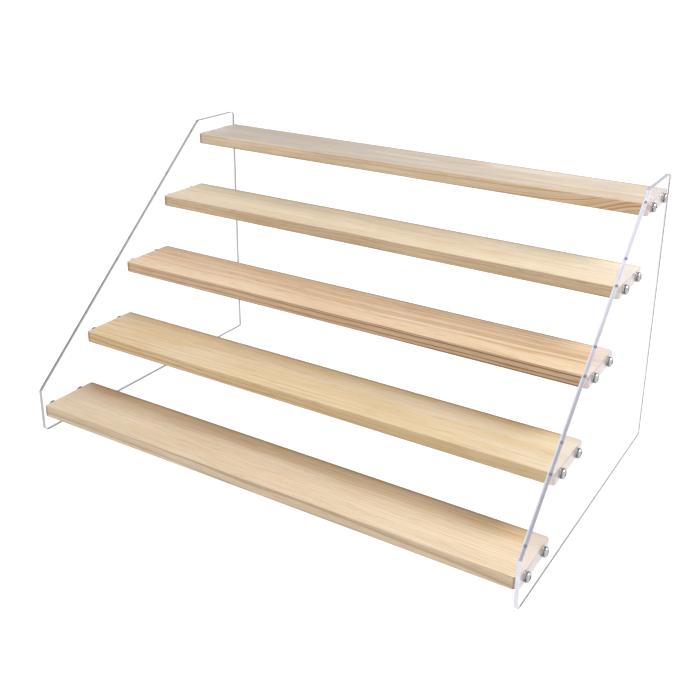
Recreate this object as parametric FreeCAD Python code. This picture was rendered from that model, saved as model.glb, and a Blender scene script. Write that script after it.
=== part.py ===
import FreeCAD, Part
import math
import os

# Tiered shelf riser: five boards step up between two clear side panels and are screwed to them through their ends.
# Millimetres. X runs along the boards, the front faces -Y, Z is up. The origin is on the table under the middle.

# boards
board_length = 400.0
board_end_clearance = 0.05  # rough end grain never beds fully against the smooth sheet
board_depth = 50.0
board_thickness = 9.0
board_corner_radius = 2.5
board_arris_radius = 0.9
tier_count = 5
first_tier_top = 22.2
tier_rise = 45.6
board_setback = 1.0  # the first board's front and the last board's back stand this far inside the panel

# side panels
panel_thickness = 3.0
panel_depth = 250.0
panel_height = 216.0
front_lip_height = 35.0
top_edge_length = 50.0
foot_radius = 4.0
lip_radius = 1.5
crown_radius = 2.0
back_top_radius = 3.0
back_foot_radius = 0.8
panel_edge_bevel = 0.3

# screws, and the holes they pass through
screw_inset = 10.5  # from a board's front or back face to the screw's axis
screw_length = 16.0
thread_radius = 1.75
thread_root_radius = 1.3
thread_pitch = 1.3
plain_neck_length = 3.6
point_length = 2.6
head_radius = 3.5
head_side_height = 0.8
head_shoulder_radius = 2.35
head_shoulder_height = 2.1
head_height = 2.4
recess_width = 3.8
recess_floor_width = 1.6
recess_blade = 0.85
recess_depth = 1.5
panel_hole_radius = 2.1
pilot_radius = 1.9
pilot_depth = 14.5
recess_turn_step = 37.0  # no two neighbouring screws stop at the same angle


def panel_inner_face():
    """How far a side panel's inner face is from the middle."""
    return board_length / 2 + board_end_clearance


def tier_front(tier):
    """Y of a board's front face; tiers count from 0 at the front."""
    going = (panel_depth - 2 * board_setback - board_depth) / (tier_count - 1)
    return -panel_depth / 2 + board_setback + tier * going


def tier_top(tier):
    """Z of a board's top face."""
    return first_tier_top + tier * tier_rise


def screw_centres(tier):
    """Where the front and the rear screw of a tier enter the board's end, as (name, Y, Z)."""
    z = tier_top(tier) - board_thickness / 2
    front = tier_front(tier) + screw_inset
    rear = tier_front(tier) + board_depth - screw_inset
    return [("front", front, z), ("rear", rear, z)]


def edges_along(shape, direction):
    """The straight edges that run along a direction."""
    found = []
    for edge in shape.Edges:
        if not isinstance(edge.Curve, Part.Line):
            continue
        run = edge.Vertexes[-1].Point - edge.Vertexes[0].Point
        if abs(run.dot(direction)) > 0.999 * run.Length:
            found.append(edge)
    return found


def edges_in_plane(shape, axis, value):
    """The edges that lie in the plane where one coordinate has a value."""
    found = []
    for edge in shape.Edges:
        box = edge.BoundBox
        low = getattr(box, axis + "Min")
        high = getattr(box, axis + "Max")
        if abs(low - value) < 1e-4 and abs(high - value) < 1e-4:
            found.append(edge)
    return found


def side_panel(side):
    """A clear panel just clear of the board ends; side is -1 for left, 1 for right."""
    front = -panel_depth / 2
    back = panel_depth / 2
    outline = [
        (front, 0.0, foot_radius),
        (front, front_lip_height, lip_radius),
        (back - top_edge_length, panel_height, crown_radius),
        (back, panel_height, back_top_radius),
        (back, 0.0, back_foot_radius),
    ]
    points = [FreeCAD.Vector(0, y, z) for y, z, radius in outline]
    plate = Part.Face(Part.makePolygon(points + points[:1])).extrude(FreeCAD.Vector(panel_thickness, 0, 0))
    for y, z, radius in outline:
        corner = FreeCAD.Vector(panel_thickness / 2, y, z)
        upright = edges_along(plate, FreeCAD.Vector(1, 0, 0))
        nearest = min(upright, key=lambda edge: edge.CenterOfMass.distanceToPoint(corner))
        plate = plate.makeFillet(radius, [nearest])
    rims = edges_in_plane(plate, "X", 0.0) + edges_in_plane(plate, "X", panel_thickness)
    plate = plate.makeChamfer(panel_edge_bevel, rims)
    for tier in range(tier_count):
        for place, y, z in screw_centres(tier):
            start = FreeCAD.Vector(-1, y, z)
            hole = Part.makeCylinder(panel_hole_radius, panel_thickness + 2, start, FreeCAD.Vector(1, 0, 0))
            plate = plate.cut(hole)
    inner = panel_inner_face()
    plate.translate(FreeCAD.Vector(inner if side > 0 else -inner - panel_thickness, 0, 0))
    return plate


def shelf_board(tier):
    """A board with rounded plan corners, eased arrises and a pilot hole for each of its four screws."""
    corner = FreeCAD.Vector(-board_length / 2, tier_front(tier), tier_top(tier) - board_thickness)
    board = Part.makeBox(board_length, board_depth, board_thickness, corner)
    board = board.makeFillet(board_corner_radius, edges_along(board, FreeCAD.Vector(0, 0, 1)))
    arrises = edges_in_plane(board, "Z", tier_top(tier))
    arrises += edges_in_plane(board, "Z", tier_top(tier) - board_thickness)
    board = board.makeFillet(board_arris_radius, arrises)
    for side in (-1, 1):
        for place, y, z in screw_centres(tier):
            mouth = FreeCAD.Vector(side * (board_length / 2 + 1), y, z)
            inwards = FreeCAD.Vector(-side, 0, 0)
            drill = Part.makeCylinder(pilot_radius, pilot_depth + 1 - pilot_radius, mouth, inwards)
            tip = Part.makeCone(
                pilot_radius, 0, pilot_radius, mouth + inwards * (pilot_depth + 1 - pilot_radius), inwards
            )
            board = board.cut(drill.fuse(tip))
    return board


def recess_blade_solid():
    """One wing pair of the cross recess: it narrows towards its floor."""
    top = head_height + 0.1
    floor = head_height - recess_depth
    corners = [
        (-recess_width / 2, top),
        (recess_width / 2, top),
        (recess_floor_width / 2, floor),
        (-recess_floor_width / 2, floor),
    ]
    points = [FreeCAD.Vector(x, -recess_blade / 2, z) for x, z in corners]
    return Part.Face(Part.makePolygon(points + points[:1])).extrude(FreeCAD.Vector(0, recess_blade, 0))


def screw(turn):
    """A pan-head wood screw standing on its point, its bearing face at Z = 0; turn is the recess's angle."""
    tip = -(screw_length)
    thread_end = tip + point_length
    outline = [FreeCAD.Vector(0, 0, tip)]
    outline.append(FreeCAD.Vector(thread_root_radius, 0, thread_end))
    ridges = int((-plain_neck_length - thread_end) / thread_pitch)
    for ridge in range(ridges):
        foot = thread_end + ridge * thread_pitch
        outline.append(FreeCAD.Vector(thread_radius, 0, foot + thread_pitch * 0.45))
        outline.append(FreeCAD.Vector(thread_root_radius, 0, foot + thread_pitch * 0.9))
        outline.append(FreeCAD.Vector(thread_root_radius, 0, foot + thread_pitch))
    outline.append(FreeCAD.Vector(thread_radius, 0, -plain_neck_length))
    outline.append(FreeCAD.Vector(thread_radius, 0, 0))
    outline.append(FreeCAD.Vector(head_radius, 0, 0))
    outline.append(FreeCAD.Vector(head_radius, 0, head_side_height))
    edges = [Part.makeLine(a, b) for a, b in zip(outline, outline[1:])]

    shoulder = FreeCAD.Vector(head_shoulder_radius, 0, head_shoulder_height)
    bulge = (head_radius - head_shoulder_radius) * math.sin(math.radians(45))
    rise = (head_shoulder_height - head_side_height) * math.sin(math.radians(45))
    middle = FreeCAD.Vector(head_shoulder_radius + bulge, 0, head_side_height + rise)
    crown = FreeCAD.Vector(0, 0, head_height)
    crown_middle = FreeCAD.Vector(
        head_shoulder_radius / 2, 0, head_height - (head_height - head_shoulder_height) / 4
    )
    edges.append(Part.Arc(outline[-1], middle, shoulder).toShape())
    edges.append(Part.Arc(shoulder, crown_middle, crown).toShape())
    edges.append(Part.makeLine(crown, outline[0]))
    profile = Part.Face(Part.Wire(edges))
    body = profile.revolve(FreeCAD.Vector(0, 0, 0), FreeCAD.Vector(0, 0, 1), 360)

    blade = recess_blade_solid()
    crossing = blade.copy()
    crossing.rotate(FreeCAD.Vector(0, 0, 0), FreeCAD.Vector(0, 0, 1), 90)
    body = body.cut(blade.fuse(crossing))
    body.rotate(FreeCAD.Vector(0, 0, 0), FreeCAD.Vector(0, 0, 1), turn)
    return body


def fitted_screw(side, y, z, turn):
    """A screw driven home: its head bears on the panel's outer face and its point is in the board."""
    piece = screw(turn)
    piece.rotate(FreeCAD.Vector(0, 0, 0), FreeCAD.Vector(0, 1, 0), side * 90)
    piece.translate(FreeCAD.Vector(side * (panel_inner_face() + panel_thickness), y, z))
    return piece


def save(shape, node):
    """Writes one piece as a STEP file, after checking that it is one sound solid."""
    if not shape.isValid() or len(shape.Solids) != 1:
        raise ValueError(node + " isn't one valid solid")
    shape.Solids[0].exportStep("parts/" + node + ".step")
    print(node, "volume %.0f mm3" % shape.Volume)


os.makedirs("parts", exist_ok=True)
sides = {"left": -1, "right": 1}
for name, side in sides.items():
    save(side_panel(side), "side_panel_" + name)
for tier in range(tier_count):
    save(shelf_board(tier), "shelf_board_tier_%d" % (tier + 1))
turn = 0.0
for name, side in sides.items():
    for tier in range(tier_count):
        for place, y, z in screw_centres(tier):
            save(fitted_screw(side, y, z, turn), "screw_%s_tier_%d_%s" % (name, tier + 1, place))
            turn = (turn + recess_turn_step) % 90
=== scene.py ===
import math

import bpy
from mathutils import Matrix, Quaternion, Vector


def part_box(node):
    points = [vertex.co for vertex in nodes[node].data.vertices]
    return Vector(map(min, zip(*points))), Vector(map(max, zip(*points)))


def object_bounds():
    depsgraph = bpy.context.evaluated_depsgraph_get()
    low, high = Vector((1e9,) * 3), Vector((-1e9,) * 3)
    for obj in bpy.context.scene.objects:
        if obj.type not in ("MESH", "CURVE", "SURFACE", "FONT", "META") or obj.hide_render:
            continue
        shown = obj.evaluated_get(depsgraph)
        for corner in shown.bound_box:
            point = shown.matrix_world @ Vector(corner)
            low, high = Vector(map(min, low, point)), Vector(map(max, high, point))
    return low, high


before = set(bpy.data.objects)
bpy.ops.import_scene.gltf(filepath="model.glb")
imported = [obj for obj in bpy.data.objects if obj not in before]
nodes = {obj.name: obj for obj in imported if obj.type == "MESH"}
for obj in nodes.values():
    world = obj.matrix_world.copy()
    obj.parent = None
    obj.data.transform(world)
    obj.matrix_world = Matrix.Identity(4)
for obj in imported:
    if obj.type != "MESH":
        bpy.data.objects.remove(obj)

cadLow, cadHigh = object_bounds()
middle = (cadLow + cadHigh) / 2
boardNames = sorted(name for name in nodes if name.startswith("shelf_board_"))
panelNames = sorted(name for name in nodes if name.startswith("side_panel_"))
screwNames = sorted(name for name in nodes if name.startswith("screw_"))
print("frame loaded:", len(boardNames), "boards,", len(panelNames), "panels,", len(screwNames), "screws")


# short ways to write node trees
def newMaterial(name):
    material = bpy.data.materials.new(name)
    material.use_nodes = True
    tree = material.node_tree
    tree.nodes.clear()
    output = tree.nodes.new("ShaderNodeOutputMaterial")
    return material, tree, output


def addNode(tree, kind, inputs=None, **settings):
    node = tree.nodes.new("ShaderNode" + kind)
    for key, value in settings.items():
        setattr(node, key, value)
    for key, value in (inputs or {}).items():
        if isinstance(value, bpy.types.NodeSocket):
            tree.links.new(value, node.inputs[key])
        else:
            node.inputs[key].default_value = value
    return node


def mathNode(tree, operation, a, b=0.0, c=0.0):
    return addNode(tree, "Math", {0: a, 1: b, 2: c}, operation=operation).outputs[0]


def vectorNode(tree, operation, a, b=(0, 0, 0)):
    return addNode(tree, "VectorMath", {0: a, 1: b}, operation=operation).outputs[0]


def dotNode(tree, a, b):
    return addNode(tree, "VectorMath", {0: a, 1: b}, operation="DOT_PRODUCT").outputs["Value"]


def splitAxes(tree, vector):
    return addNode(tree, "SeparateXYZ", {0: vector}).outputs


def times(tree, first, *others):
    for other in others:
        first = mathNode(tree, "MULTIPLY", first, other)
    return first


def greatest(tree, first, *others):
    for other in others:
        first = mathNode(tree, "MAXIMUM", first, other)
    return first


def graded(tree, share, start, end):
    return mathNode(tree, "MULTIPLY_ADD", share, end - start, start)


def stretched(tree, place, scale, offset=(0, 0, 0)):
    return addNode(tree, "Mapping", {"Vector": place, "Scale": scale, "Location": offset}).outputs[0]


def noise(tree, place, detail=2.0, roughness=0.5, scale=1.0):
    wanted = {"Vector": place, "Scale": scale, "Detail": detail, "Roughness": roughness}
    return addNode(tree, "TexNoise", wanted).outputs["Fac"]


def ramp(tree, value, stops):
    node = addNode(tree, "ValToRGB", {0: value})
    elements = node.color_ramp.elements
    while len(elements) < len(stops):
        elements.new(0.5)
    for element, (position, level) in zip(elements, stops):
        element.position = position
        element.color = (*level, 1.0) if isinstance(level, tuple) else (level, level, level, 1.0)
    return node.outputs[0]


def between(tree, value, low, high):
    wanted = {"Value": value, "From Min": low, "From Max": high}
    return addNode(tree, "MapRange", wanted, interpolation_type="SMOOTHSTEP").outputs[0]


def mixColour(tree, share, a, b, blend="MIX"):
    node = addNode(tree, "Mix", data_type="RGBA", blend_type=blend)
    for socket, value in (("Factor_Float", share), ("A_Color", a), ("B_Color", b)):
        target = next(s for s in node.inputs if s.identifier == socket)
        if isinstance(value, bpy.types.NodeSocket):
            tree.links.new(value, target)
        elif socket == "Factor_Float":
            target.default_value = value
        else:
            target.default_value = (*value, 1.0)
    return next(s for s in node.outputs if s.identifier == "Result_Color")


def giveMaterial(piece, material):
    piece.data.materials.clear()
    piece.data.materials.append(material)


# lengths in metres, colours linear
# pith: how far the middle of the tree is from the board's middle, across (Y) and up (Z)
# ringGap: between year rings; tilt: degrees the grain runs off the board's length, sideways and upwards
# wander: how far the rings drift off their line; seed: picks another piece of the same noise
# swirl: where along the board and how widely the grain swings round a knot; swing: how far, across and up
# swirlSpan: from where to where across the board it sets in; swirlShade: how much redder the wood is there
# pale, band: early and late wood; bandShare: how strong the rings are
# bandDrift: the same towards the left and the right end; faceBand: and on the wide faces
# yearSpread: how much fainter a poor year is than a good one; cloud: dry patches to a metre across the grain
# tint: broad warm patches; streak: resin-rich streaks; chalkShare: how pale the dry patches are
# leftTone, rightTone: the colour's drift along the board; edgeTone: planed long edges against the faces;
# back tone: the colour towards the back edge, partly the wood's own and partly painted shadow of the board
# above; above 1 it paints light onto the back
pineBoards = {
    "shelf_board_tier_1": {
        "pith": (0.155, 0.040), "ringGap": 0.0017, "tilt": (0.30, -0.10), "wander": 0.0016, "seed": 11.0,
        "swirl": (-0.174, 0.028), "swing": (0.0150, 0.0), "swirlSpan": (-0.004, 0.020), "swirlShade": 0.65,
        "pale": (0.755, 0.625, 0.455), "band": (0.430, 0.300, 0.165), "bandShare": 0.75,
        "bandDrift": (1.0, 1.0), "faceBand": 1.05, "yearSpread": 0.45, "cloud": 80,
        "tint": (0.600, 0.440, 0.280), "tintShare": 0.40,
        "streak": (0.560, 0.370, 0.180), "streakShare": 0.15, "chalkShare": 0.30,
        "leftTone": (0.98, 0.98, 0.99), "rightTone": (1.02, 1.02, 1.01), "edgeTone": (0.74, 0.71, 0.69),
        "backShadeAndTone": (0.82, 0.73, 0.65),
    },
    "shelf_board_tier_2": {
        "pith": (-0.120, 0.055), "ringGap": 0.0021, "tilt": (-0.55, 0.20), "wander": 0.0022, "seed": 23.0,
        "swirl": (0.02, 0.08), "swing": (0.0, -0.0014), "swirlSpan": (-0.009, -0.025), "swirlShade": 0.0,
        "pale": (0.740, 0.600, 0.400), "band": (0.420, 0.270, 0.115), "bandShare": 0.80,
        "bandDrift": (1.5, 0.45), "faceBand": 0.55, "yearSpread": 0.50, "cloud": 42,
        "tint": (0.600, 0.430, 0.235), "tintShare": 0.50,
        "streak": (0.560, 0.380, 0.170), "streakShare": 0.18, "chalkShare": 0.48,
        "leftTone": (1.05, 1.04, 1.01), "rightTone": (0.93, 0.94, 0.92), "edgeTone": (0.79, 0.73, 0.66),
        "backShadeAndTone": (0.96, 0.92, 0.86),
    },
    "shelf_board_tier_3": {
        "pith": (-0.030, -0.085), "ringGap": 0.0027, "tilt": (0.60, 0.30), "wander": 0.0024, "seed": 37.0,
        "swirl": (-0.10, 0.10), "swing": (0.0, -0.0012), "swirlSpan": (-0.009, -0.025), "swirlShade": 0.0,
        "pale": (0.740, 0.575, 0.395), "band": (0.235, 0.095, 0.036), "bandShare": 0.90,
        "bandDrift": (0.8, 1.60), "faceBand": 0.34, "yearSpread": 0.25, "cloud": 60,
        "tint": (0.630, 0.435, 0.275), "tintShare": 0.60,
        "streak": (0.520, 0.300, 0.110), "streakShare": 0.50, "chalkShare": 0.22,
        "leftTone": (1.03, 1.01, 1.01), "rightTone": (0.94, 0.93, 0.90), "edgeTone": (0.72, 0.66, 0.61),
        "backShadeAndTone": (1.06, 1.06, 1.06),
    },
    "shelf_board_tier_4": {
        "pith": (0.030, -0.110), "ringGap": 0.0022, "tilt": (0.20, 0.25), "wander": 0.0026, "seed": 53.0,
        "swirl": (-0.02, 0.05), "swing": (0.0, -0.0016), "swirlSpan": (-0.009, -0.025), "swirlShade": 0.0,
        "pale": (0.930, 0.790, 0.585), "band": (0.400, 0.240, 0.105), "bandShare": 0.75,
        "bandDrift": (1.1, 1.0), "faceBand": 0.28, "yearSpread": 0.60, "cloud": 40,
        "tint": (0.720, 0.540, 0.345), "tintShare": 0.45,
        "streak": (0.580, 0.390, 0.190), "streakShare": 0.16, "chalkShare": 0.60,
        "leftTone": (0.81, 0.81, 0.80), "rightTone": (0.79, 0.80, 0.81), "edgeTone": (0.74, 0.67, 0.59),
        "backShadeAndTone": (1.04, 1.03, 1.02),
    },
    "shelf_board_tier_5": {
        "pith": (0.012, 0.090), "ringGap": 0.0030, "tilt": (-0.30, 0.60), "wander": 0.0026, "seed": 71.0,
        "swirl": (0.200, 0.036), "swing": (0.0, -0.0140), "swirlSpan": (-0.009, -0.025), "swirlShade": 0.3,
        "pale": (0.590, 0.525, 0.440), "band": (0.430, 0.240, 0.085), "bandShare": 0.78,
        "bandDrift": (0.7, 1.60), "faceBand": 0.35, "yearSpread": 0.45, "cloud": 60,
        "tint": (0.540, 0.435, 0.310), "tintShare": 0.45,
        "streak": (0.540, 0.360, 0.170), "streakShare": 0.35, "chalkShare": 0.50,
        "leftTone": (0.94, 0.96, 1.01), "rightTone": (0.99, 0.99, 0.98), "edgeTone": (0.98, 0.89, 0.75),
        "backShadeAndTone": (1.00, 1.00, 1.00),
    },
}

# in a facing, a width or a range a mark grows from nothing at the first value to full at the second
# facings: 1 is square on to a face; widths: how far from the board's end or back edge
# ranges: levels of the noise; scales: how often a pattern repeats in a metre along, across and up the board
pineFinish = {
    "roughness": 0.52,
    "roughnessSpread": 0.16,
    "specular": 0.32,
    "grainDepth": 0.00006,
    "grainStrength": 0.8,
    "fibreRelief": 0.6,
    "bandRelief": 0.7,
    "chalk": (0.800, 0.720, 0.600),
    "knot": (0.80, 0.66, 0.58),
    # painted shade: arris darkens the arrises that turn away from the lamps and the faces' rim along the
    # back
    "arris": (0.62, 0.60, 0.59),
    "arrisFacing": (0.997, 0.940),
    "arrisTurned": (0.02, 0.20),  # how far to the back or down an arris looks before it counts as darker
    "arrisSideways": (0.05, 0.40),
    # painted shade: the faces' rim along the back is darkened like the arrises
    "backRimShadeWidth": (0.0038, 0.0012),  # the faces' rim along the back, as dark as the arrises
    # the next two place the back's painted shadow and tone: where it starts and ends, and how ragged it is
    "backToneWidth": (0.008, -0.012),
    "backRaggedness": 0.030,
    # painted shade on the boards' left plan corners
    "corner": (0.56, 0.53, 0.52),
    "cornerWidth": (0.0046, 0.0018),
    "cornerFacing": (0.70, 0.30),
    "edgeFacing": (0.937, 0.527),
    "endGrain": (0.500, 0.455, 0.425),
    "endGrainShare": 0.86,
    "endFacing": (0.70, 0.95),
    "bendScale": (5, 16, 16),
    "gapScale": 260,
    "gapSpread": 1.6,
    "yearRamp": [(0.0, 0.0), (0.45, 0.08), (0.74, 0.55), (0.86, 1.0), (0.93, 0.80), (1.0, 0.0)],
    "patchScale": (4.5, 34, 34),
    "patchRange": (0.36, 0.68),
    "dryScale": 7,  # along the board, while cloud goes for across and up
    "dryRange": (0.48, 0.72),
    "resinScale": (8, 210, 210),
    "resinRange": (0.55, 0.72),
    "canalScale": (60, 1500, 1500),
    "canalRange": (0.62, 0.74),
    "canalShare": 0.45,
    "fibreScale": (26, 1100, 1100),
    "fibreRamp": [(0.28, (0.85, 0.82, 0.77)), (0.50, 1.0), (0.74, (1.06, 1.07, 1.09))],
    "fibreShare": 0.75,
    "fineScale": (70, 3600, 3600),
    "fineRamp": [(0.32, (0.90, 0.88, 0.85)), (0.56, 1.0)],
    "fineShare": 0.6,
}


def bendGrain(tree, moved, look):
    # the grain runs off the board's length, drifts slowly, and swings out and back round a knot
    tiltSideways, tiltUpwards = look["tilt"]
    turn = (0.0, math.radians(tiltUpwards), math.radians(tiltSideways))
    along = addNode(tree, "Mapping", {"Vector": moved, "Rotation": turn}).outputs[0]
    bendPlace = stretched(tree, along, pineFinish["bendScale"], (look["seed"], 0, 0))
    bend = addNode(tree, "TexNoise", {"Vector": bendPlace, "Scale": 1.0}).outputs["Color"]
    shift = vectorNode(tree, "SUBTRACT", bend, (0.5, 0.5, 0.5))
    wander = look["wander"] * 2
    bent = vectorNode(tree, "ADD", along, vectorNode(tree, "MULTIPLY", shift, (0, wander, wander)))
    alongX, acrossY = splitAxes(tree, moved)[:2]
    knotX, knotWidth = look["swirl"]
    fromKnot = mathNode(tree, "DIVIDE", mathNode(tree, "SUBTRACT", alongX, knotX), knotWidth)
    hump = mathNode(tree, "EXPONENT", times(tree, fromKnot, fromKnot, -1.0))
    nearKnot = times(tree, hump, between(tree, acrossY, *look["swirlSpan"]))
    swingY, swingZ = (times(tree, nearKnot, swing) for swing in look["swing"])
    swung = addNode(tree, "CombineXYZ", {"Y": swingY, "Z": swingZ}).outputs[0]
    return vectorNode(tree, "ADD", bent, swung), nearKnot


def yearRings(tree, bent, look):
    # the rings are circles round the pith, some years strong and some faint
    fromPith = vectorNode(tree, "SUBTRACT", bent, (0, *look["pith"]))
    across = vectorNode(tree, "MULTIPLY", fromPith, (0, 1, 1))
    radius = addNode(tree, "VectorMath", {0: across}, operation="LENGTH").outputs["Value"]
    gapPlace = mathNode(tree, "ADD", radius, look["seed"])
    gapNoise = {"W": gapPlace, "Scale": pineFinish["gapScale"], "Detail": 1.0}
    uneven = addNode(tree, "TexNoise", gapNoise, noise_dimensions="1D").outputs["Fac"]
    evenYears = mathNode(tree, "DIVIDE", radius, look["ringGap"])
    years = mathNode(tree, "ADD", evenYears, times(tree, uneven, pineFinish["gapSpread"]))
    luck = addNode(tree, "TexWhiteNoise", {"W": mathNode(tree, "FLOOR", years)}, noise_dimensions="1D")
    strength = graded(tree, luck.outputs["Value"], 1.0 - look["yearSpread"], 1.0)
    lateWood = ramp(tree, mathNode(tree, "FRACT", years), pineFinish["yearRamp"])
    return times(tree, lateWood, strength, look["bandShare"])


def makePine(name, look):
    low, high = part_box(name)
    centre = (low + high) / 2
    halfLength = (high.x - low.x) / 2
    back = high.y - centre.y
    seed = look["seed"]
    material, tree, output = newMaterial("pine_" + name)
    place = addNode(tree, "TexCoord").outputs["Object"]
    moved = vectorNode(tree, "SUBTRACT", place, tuple(centre))
    alongX, acrossY = splitAxes(tree, moved)[:2]
    normal = addNode(tree, "NewGeometry").outputs["Normal"]
    facingX, facingY, facingZ = splitAxes(tree, vectorNode(tree, "ABSOLUTE", normal))
    bent, nearKnot = bendGrain(tree, moved, look)

    # the rings stand out more on the long edges, and more towards one end than the other
    drift = between(tree, alongX, -halfLength, halfLength)
    bandDrift = graded(tree, drift, *look["bandDrift"])
    onFace = graded(tree, facingZ, 1.0, look["faceBand"])
    bands = times(tree, yearRings(tree, bent, look), bandDrift, onFace)

    # everything else that runs along the grain: warm patches, pale patches, streaks, resin canals and fibres
    patch = noise(tree, stretched(tree, bent, pineFinish["patchScale"], (0, seed, 0)), 3.0, 0.55)
    patches = times(tree, between(tree, patch, *pineFinish["patchRange"]), look["tintShare"])
    dryScale = (pineFinish["dryScale"], look["cloud"], look["cloud"])
    dry = noise(tree, stretched(tree, bent, dryScale, (seed, seed, 0)), 2.5)
    dryPatches = times(tree, between(tree, dry, *pineFinish["dryRange"]), look["chalkShare"])
    resin = noise(tree, stretched(tree, bent, pineFinish["resinScale"], (0, 0, seed)), 2.0, 0.6)
    streaks = times(tree, between(tree, resin, *pineFinish["resinRange"]), look["streakShare"])
    canal = noise(tree, stretched(tree, bent, pineFinish["canalScale"], (0, 0, seed)), 1.0, 0.4)
    canals = times(tree, between(tree, canal, *pineFinish["canalRange"]), pineFinish["canalShare"])
    fibre = noise(tree, stretched(tree, bent, pineFinish["fibreScale"]), 3.0, 0.6)
    fine = noise(tree, stretched(tree, bent, pineFinish["fineScale"]))

    wood = mixColour(tree, patches, look["pale"], look["tint"])
    wood = mixColour(tree, dryPatches, wood, pineFinish["chalk"])
    wood = mixColour(tree, streaks, wood, look["streak"])
    wood = mixColour(tree, times(tree, nearKnot, look["swirlShade"]), wood, pineFinish["knot"], "MULTIPLY")
    wood = mixColour(tree, bands, wood, look["band"])
    wood = mixColour(tree, canals, wood, look["band"])
    fibreTone = ramp(tree, fibre, pineFinish["fibreRamp"])
    wood = mixColour(tree, pineFinish["fibreShare"], wood, fibreTone, "MULTIPLY")
    fineTone = ramp(tree, fine, pineFinish["fineRamp"])
    wood = mixColour(tree, pineFinish["fineShare"], wood, fineTone, "MULTIPLY")
    driftTone = mixColour(tree, drift, look["leftTone"], look["rightTone"])
    wood = mixColour(tree, 1.0, wood, driftTone, "MULTIPLY")
    # painted shadow of the board above, mixed with the wood's own colour, towards the back edge
    ragged = mathNode(tree, "MULTIPLY_ADD", patch, pineFinish["backRaggedness"], acrossY)
    backStart, backFull = (back - width for width in pineFinish["backToneWidth"])
    backShadeMask = between(tree, ragged, backStart, backFull)
    wood = mixColour(tree, backShadeMask, wood, look["backShadeAndTone"], "MULTIPLY")

    # long edges and end grain
    onEdge = between(tree, facingZ, *pineFinish["edgeFacing"])
    wood = mixColour(tree, onEdge, wood, look["edgeTone"], "MULTIPLY")
    endWood = mixColour(tree, pineFinish["endGrainShare"], wood, pineFinish["endGrain"])
    wood = mixColour(tree, between(tree, facingX, *pineFinish["endFacing"]), wood, endWood)

    # painted shade: the arrises that turn back, down or to the ends are darker, as is the faces' rim along
    # the back; the front top arris is left as it is
    turnedStart, turnedFull = pineFinish["arrisTurned"]
    outwards = splitAxes(tree, normal)
    backwards = between(tree, outwards["Y"], turnedStart, turnedFull)
    downwards = between(tree, outwards["Z"], -turnedStart, -turnedFull)
    sideways = between(tree, facingX, *pineFinish["arrisSideways"])
    squareOn = greatest(tree, facingX, facingY, facingZ)
    darker = greatest(tree, backwards, downwards, sideways)
    onArris = times(tree, between(tree, squareOn, *pineFinish["arrisFacing"]), darker)
    rimStart, rimFull = (back - width for width in pineFinish["backRimShadeWidth"])
    arrisAndRimShade = greatest(tree, onArris, between(tree, acrossY, rimStart, rimFull))
    wood = mixColour(tree, arrisAndRimShade, wood, pineFinish["arris"], "MULTIPLY")

    # painted shade: the left plan corners are darker too, as they turn away from the lamps
    cornerStart, cornerFull = (width - halfLength for width in pineFinish["cornerWidth"])
    leftEnd = between(tree, alongX, cornerStart, cornerFull)
    leftCornerShade = times(tree, leftEnd, between(tree, facingZ, *pineFinish["cornerFacing"]))
    wood = mixColour(tree, leftCornerShade, wood, pineFinish["corner"], "MULTIPLY")

    bandRelief = times(tree, bands, pineFinish["bandRelief"])
    bump = addNode(tree, "Bump", {
        "Height": mathNode(tree, "MULTIPLY_ADD", fibre, pineFinish["fibreRelief"], bandRelief),
        "Distance": pineFinish["grainDepth"],
        "Strength": pineFinish["grainStrength"],
    })
    smoothest = pineFinish["roughness"] - pineFinish["roughnessSpread"] / 2
    shader = addNode(tree, "BsdfPrincipled", {
        "Base Color": wood,
        "Roughness": graded(tree, fibre, smoothest, smoothest + pineFinish["roughnessSpread"]),
        "Normal": bump.outputs[0],
        "Specular IOR Level": pineFinish["specular"],
    })
    tree.links.new(shader.outputs[0], output.inputs["Surface"])
    return material


for name in boardNames:
    giveMaterial(nodes[name], makePine(name, pineBoards[name]))
print("pine boards finished")


# in every pair a colour grows from nothing at the first value to full at the second
# widths: how far from the edge they name
clearSheet = {
    "ior": 1.49,
    "gloss": 0.5,
    "face": (0.900, 0.878, 0.910),
    "rimFacing": (0.95, 0.80),  # 1 is square on to a face, 0 is the cut edge
    "edgeRoughness": 0.22,
    "edgeClearness": 0.12,
    "outerHalf": (0.15, 0.50),  # shares of the thickness, from the inside
    "lipWidth": (0.0009, 0.0002),
    "backWidth": (0.0035, 0.0030),
    "footWidth": (0.0034, 0.0024),
    "behindLip": (0.0030, 0.0060),  # how far back from the lip the foot's colour starts
    "crownWidth": (0.0016, 0.0008),
    "upperPart": (0.35, 0.85),  # shares of the height, on the slanted edge
    # painted shade on the faces beside the back and the foot
    "nearEdgeShade": (0.350, 0.345, 0.365),  # the faces' last two millimetres along the back and the foot
    "nearEdgeWidth": (0.0022, 0.0022 / 3),
    # mark: a painted image of each screw as seen through the polished slanted edge, fixed to the sheet
    "mark": (0.200, 0.200, 0.215),  # a screw's dark image in the polished slanted edge
    "markWidth": (0.0015, 0.0005),  # from the mark's middle
    "markShift": -0.008,  # how far up the slant from the screw it shows
    "sawScale": (2500, 240, 240),
    "sawRamp": [(0.35, 0.84), (0.65, 1.0)],
    "sawShare": 0.8,
}

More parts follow.
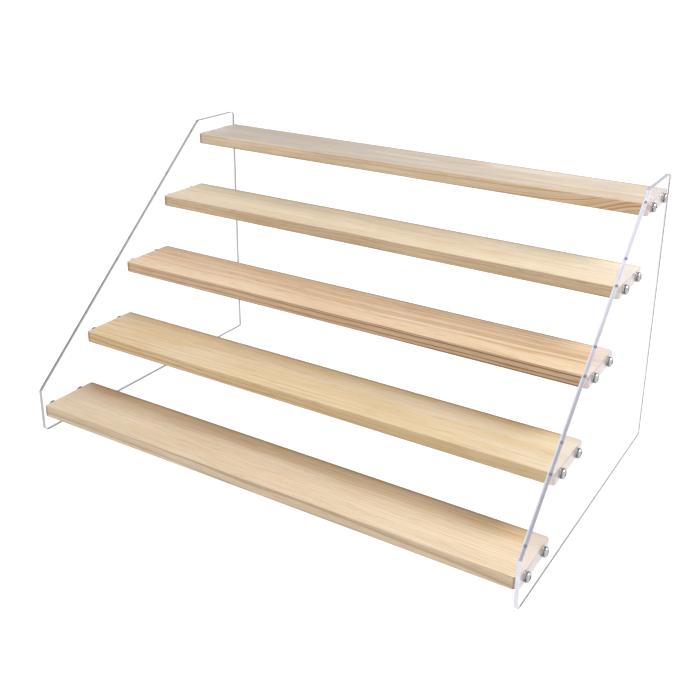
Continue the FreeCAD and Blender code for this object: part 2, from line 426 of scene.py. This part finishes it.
# the cut edges' colours are painted highlights and shade that stand for the light the polished edges bend
# and mirror, and each sheet has its own;
# on the slanted edge inner is the half next to the boards, and upper is the outer half's colour high up
sheetEdges = {
    "side_panel_left": {
        "inner": (0.500, 0.500, 0.530), "outer": (0.236, 0.236, 0.275), "upper": (0.390, 0.390, 0.430),
        "lip": (0.484, 0.484, 0.520), "crown": (0.300, 0.300, 0.320), "back": (0.450, 0.450, 0.470),
    },
    "side_panel_right": {
        "inner": (0.800, 0.800, 0.870), "outer": (0.380, 0.380, 0.450), "upper": (0.640, 0.640, 0.720),
        "lip": (0.780, 0.780, 0.860), "crown": (0.480, 0.480, 0.520), "back": (0.060, 0.060, 0.066),
    },
}


# paints the screws' images into the slanted edge
def paintedScrewImages(tree, place, panel):
    side = panel.replace("side_panel", "screw")
    centres = {screw: sum(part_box(screw), Vector()) / 2 for screw in screwNames if screw.startswith(side)}
    fronts = [centre for screw, centre in centres.items() if screw.endswith("front")]
    slant = (fronts[-1] - fronts[0]).normalized()
    upSlant = dotNode(tree, place, tuple(slant))
    screwImages = []
    for centre in centres.values():
        where = centre.dot(slant) + clearSheet["markShift"]
        away = mathNode(tree, "ABSOLUTE", mathNode(tree, "SUBTRACT", upSlant, where))
        screwImages.append(between(tree, away, *clearSheet["markWidth"]))
    return greatest(tree, *screwImages)


def makeClearSheet(name):
    low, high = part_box(name)
    height = high.z - low.z
    inner = min(abs(low.x), abs(high.x))
    outer = max(abs(low.x), abs(high.x))
    edges = sheetEdges[name]
    material, tree, output = newMaterial("clear_acrylic_" + name)
    normal = addNode(tree, "NewGeometry").outputs["Normal"]
    facing = mathNode(tree, "ABSOLUTE", splitAxes(tree, normal)["X"])
    rim = between(tree, facing, *clearSheet["rimFacing"])
    place = addNode(tree, "TexCoord").outputs["Object"]
    placeX, placeY, placeZ = splitAxes(tree, place)

    # the slanted edge: a painted highlight on the inner half, and painted shade on the outer half that
    # lightens high up
    fromMiddle = mathNode(tree, "ABSOLUTE", placeX)
    outerStart, outerFull = (inner + share * (outer - inner) for share in clearSheet["outerHalf"])
    onOuterHalf = between(tree, fromMiddle, outerStart, outerFull)
    upStart, upFull = (low.z + share * height for share in clearSheet["upperPart"])
    outerTone = mixColour(tree, between(tree, placeZ, upStart, upFull), edges["outer"], edges["upper"])
    tone = mixColour(tree, onOuterHalf, edges["inner"], outerTone)
    screwImages = times(tree, paintedScrewImages(tree, place, name), onOuterHalf)
    tone = mixColour(tree, screwImages, tone, clearSheet["mark"])

    # the other edges: the lip, the crown, the back and the foot get painted tones for their highlights and
    # shade
    lipStart, lipFull = (low.y + width for width in clearSheet["lipWidth"])
    tone = mixColour(tree, between(tree, placeY, lipStart, lipFull), tone, edges["lip"])
    crownStart, crownFull = (high.z - width for width in clearSheet["crownWidth"])
    tone = mixColour(tree, between(tree, placeZ, crownStart, crownFull), tone, edges["crown"])
    backStart, backFull = (high.y - width for width in clearSheet["backWidth"])
    atBack = between(tree, placeY, backStart, backFull)
    footStart, footFull = (low.z + width for width in clearSheet["footWidth"])
    clearOfLip, pastLip = (low.y + width for width in clearSheet["behindLip"])
    behindLip = between(tree, placeY, clearOfLip, pastLip)
    atFoot = times(tree, between(tree, placeZ, footStart, footFull), behindLip)
    dark = greatest(tree, atBack, atFoot)
    tone = mixColour(tree, dark, tone, edges["back"])
    saw = noise(tree, stretched(tree, place, clearSheet["sawScale"]))
    sawTone = ramp(tree, saw, clearSheet["sawRamp"])
    tone = mixColour(tree, clearSheet["sawShare"], tone, sawTone, "MULTIPLY")

    # the back and foot are left as sawn: they don't mirror what is inside the sheet, and let nothing through
    sawn = times(tree, dark, rim)
    gloss = graded(tree, sawn, clearSheet["gloss"], 0.0)
    clearness = graded(tree, rim, 1.0, clearSheet["edgeClearness"])
    clearness = mathNode(tree, "MULTIPLY_ADD", sawn, -clearSheet["edgeClearness"], clearness)

    # painted shade: the faces are darker close to the sawn edges
    nearStart, nearFull = clearSheet["nearEdgeWidth"]
    nearBack = between(tree, placeY, high.y - nearStart, high.y - nearFull)
    nearFoot = between(tree, placeZ, low.z + nearStart, low.z + nearFull)
    face = mixColour(tree, greatest(tree, nearBack, nearFoot), clearSheet["face"], clearSheet["nearEdgeShade"])

    shader = addNode(tree, "BsdfPrincipled", {
        "Base Color": mixColour(tree, rim, face, tone),
        "Roughness": times(tree, saw, rim, clearSheet["edgeRoughness"]),
        "IOR": clearSheet["ior"],
        "Specular IOR Level": gloss,
        "Transmission Weight": clearness,
    })
    tree.links.new(shader.outputs[0], output.inputs["Surface"])
    return material


for name in panelNames:
    giveMaterial(nodes[name], makeClearSheet(name))
    nodes[name].visible_shadow = False
    nodes[name].visible_diffuse = False  # the boards already get the lamps' light straight through the sheet
print("side panels finished")


# heights are from the face that bears on the panel
screwSteel = {
    "bright": (0.720, 0.715, 0.715),
    "dull": (0.560, 0.560, 0.570),
    # side and recess are painted: a dark reflection on the head's side, shade in the cross recess
    "side": (0.130, 0.128, 0.128),
    "recess": (0.035, 0.033, 0.032),
    "headRoughness": 0.17,
    "turning": 0.14,
    "turnedScale": (9000, 900, 900),
    "scratchDepth": 0.00001,
    "cloudScale": 420.0,
    "recessTop": 0.0012,
    "recessFloor": 0.0011,
    "sideHeight": 0.0009,
    "steepFacing": 0.40,
    "levelFacing": 0.90,
}


def makeScrewSteel():
    material, tree, output = newMaterial("zinc_plated_steel")
    place = addNode(tree, "TexCoord").outputs["Object"]
    turned = noise(tree, stretched(tree, place, screwSteel["turnedScale"]))
    cloud = noise(tree, place, scale=screwSteel["cloudScale"])
    colour = mixColour(tree, cloud, screwSteel["dull"], screwSteel["bright"])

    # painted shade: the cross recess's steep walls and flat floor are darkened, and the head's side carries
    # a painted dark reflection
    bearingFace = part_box("side_panel_right")[1].x
    distance = mathNode(tree, "ABSOLUTE", splitAxes(tree, place)["X"])
    height = mathNode(tree, "SUBTRACT", distance, bearingFace)
    normal = addNode(tree, "NewGeometry").outputs["Normal"]
    facing = mathNode(tree, "ABSOLUTE", splitAxes(tree, normal)["X"])
    steep = mathNode(tree, "LESS_THAN", facing, screwSteel["steepFacing"])
    level = mathNode(tree, "GREATER_THAN", facing, screwSteel["levelFacing"])
    wall = times(tree, steep, mathNode(tree, "GREATER_THAN", height, screwSteel["recessTop"]))
    floor = times(tree, level, mathNode(tree, "LESS_THAN", height, screwSteel["recessFloor"]))
    side = mathNode(tree, "LESS_THAN", height, screwSteel["sideHeight"])
    colour = mixColour(tree, side, colour, screwSteel["side"])
    colour = mixColour(tree, greatest(tree, wall, floor), colour, screwSteel["recess"])

    smoothest = screwSteel["headRoughness"] - screwSteel["turning"] / 2
    bump = addNode(tree, "Bump", {"Height": turned, "Distance": screwSteel["scratchDepth"]})
    shader = addNode(tree, "BsdfPrincipled", {
        "Base Color": colour,
        "Metallic": 1.0,
        "Roughness": graded(tree, turned, smoothest, smoothest + screwSteel["turning"]),
        "Normal": bump.outputs[0],
    })
    tree.links.new(shader.outputs[0], output.inputs["Surface"])
    return material


steel = makeScrewSteel()
for name in screwNames:
    giveMaterial(nodes[name], steel)
print("screws finished")


studio = {
    "floorSize": 14.0,
    "floorGap": 0.0004,
    "floorColour": (0.26, 0.26, 0.26),
    "floorScale": 90.0,
    "floorGlow": 1.00,
    "throughSheet": 1.66,  # how bright the floor and the background are behind the clear sheets
    "reflected": 0.50,  # and how bright the floor is in the sheets and the screw heads
    "skyBright": (0.88, 0.88, 0.90),
    "skyDim": (0.42, 0.42, 0.43),
    "skyBrightSide": (0.72, -0.45, 0.53),  # to the right, the front and above
    "skySpread": 0.8,
    "sideLight": {"place": (0.70, 0.20, 0.78), "size": (0.42, 0.34), "power": 6.6},
    "frontFill": {"place": (-0.35, -1.20, 0.60), "size": (1.0, 0.7), "power": 3.5},
}

viewpoint = {
    "aim": (0.0121, 0.0198, 0.0299),  # from the middle of the riser
    "azimuth": 30.564,
    "elevation": 19.978,
    "roll": 0.922,
    "distance": 0.7447,
    "lens": 50.196,
    "shift": (-0.03, -0.12),
}


def makeFloor():
    material, tree, output = newMaterial("studio_floor")
    path = addNode(tree, "LightPath").outputs
    plain = studio["floorGlow"]
    glow = graded(tree, path["Is Glossy Ray"], plain, studio["reflected"])
    glow = mathNode(tree, "MULTIPLY_ADD", path["Is Transmission Ray"], studio["throughSheet"] - plain, glow)
    grain = noise(tree, addNode(tree, "TexCoord").outputs["Object"], 3.0, scale=studio["floorScale"])
    worn = tuple(0.98 * level for level in studio["floorColour"])
    shader = addNode(tree, "BsdfPrincipled", {
        "Base Color": mixColour(tree, grain, studio["floorColour"], worn),
        "Roughness": 1.0,
        "Specular IOR Level": 0.0,
        "Emission Color": (1.0, 1.0, 1.0, 1.0),
        "Emission Strength": glow,
    })
    tree.links.new(shader.outputs[0], output.inputs["Surface"])
    bpy.ops.mesh.primitive_circle_add(vertices=96, radius=studio["floorSize"] / 2, fill_type="NGON")
    floor = bpy.context.object
    floor.name = "studioFloor"
    floor.location = (middle.x, middle.y, cadLow.z - studio["floorGap"])
    floor.data.materials.append(material)


def addSoftLight(name, settings, aim):
    lamp = bpy.data.lights.new(name, "AREA")
    lamp.shape = "RECTANGLE"
    lamp.size, lamp.size_y = settings["size"]
    lamp.energy = settings["power"]
    holder = bpy.data.objects.new(name, lamp)
    bpy.context.scene.collection.objects.link(holder)
    holder.location = settings["place"]
    holder.rotation_mode = "QUATERNION"
    holder.rotation_quaternion = (aim - holder.location).to_track_quat("-Z", "Y")
    holder.visible_camera = False


def makeWorld():
    world = bpy.data.worlds.new("studioWorld")
    world.use_nodes = True
    tree = world.node_tree
    direction = addNode(tree, "TexCoord").outputs["Generated"]
    lean = dotNode(tree, direction, studio["skyBrightSide"])
    brighter = between(tree, lean, -studio["skySpread"], studio["skySpread"])
    sky = mixColour(tree, brighter, studio["skyDim"], studio["skyBright"])
    # straight on or through the clear sheets, what stands behind the riser is plain white
    path = addNode(tree, "LightPath").outputs
    behindSheet = (studio["throughSheet"],) * 3
    sky = mixColour(tree, path["Is Camera Ray"], sky, (1.0, 1.0, 1.0))
    sky = mixColour(tree, path["Is Transmission Ray"], sky, behindSheet)
    tree.links.new(sky, tree.nodes["Background"].inputs["Color"])
    bpy.context.scene.world = world


def makeCamera():
    data = bpy.data.cameras.new("studioCamera")
    camera = bpy.data.objects.new("studioCamera", data)
    bpy.context.scene.collection.objects.link(camera)
    azimuth = math.radians(viewpoint["azimuth"])
    elevation = math.radians(viewpoint["elevation"])
    back = Vector((
        math.sin(azimuth) * math.cos(elevation),
        -math.cos(azimuth) * math.cos(elevation),
        math.sin(elevation),
    ))
    camera.location = middle + Vector(viewpoint["aim"]) + back * viewpoint["distance"]
    camera.rotation_mode = "QUATERNION"
    level = (-back).to_track_quat("-Z", "Y")
    camera.rotation_quaternion = level @ Quaternion((0, 0, 1), math.radians(viewpoint["roll"]))
    data.lens = viewpoint["lens"]
    data.sensor_width = 36.0
    data.shift_x, data.shift_y = viewpoint["shift"]
    data.clip_start = 0.01
    data.clip_end = 50.0
    bpy.context.scene.camera = camera


makeFloor()
addSoftLight("sideLight", studio["sideLight"], middle)
addSoftLight("frontFill", studio["frontFill"], middle)
makeWorld()
makeCamera()
bpy.context.scene.view_settings.view_transform = "Standard"
print("studio ready")
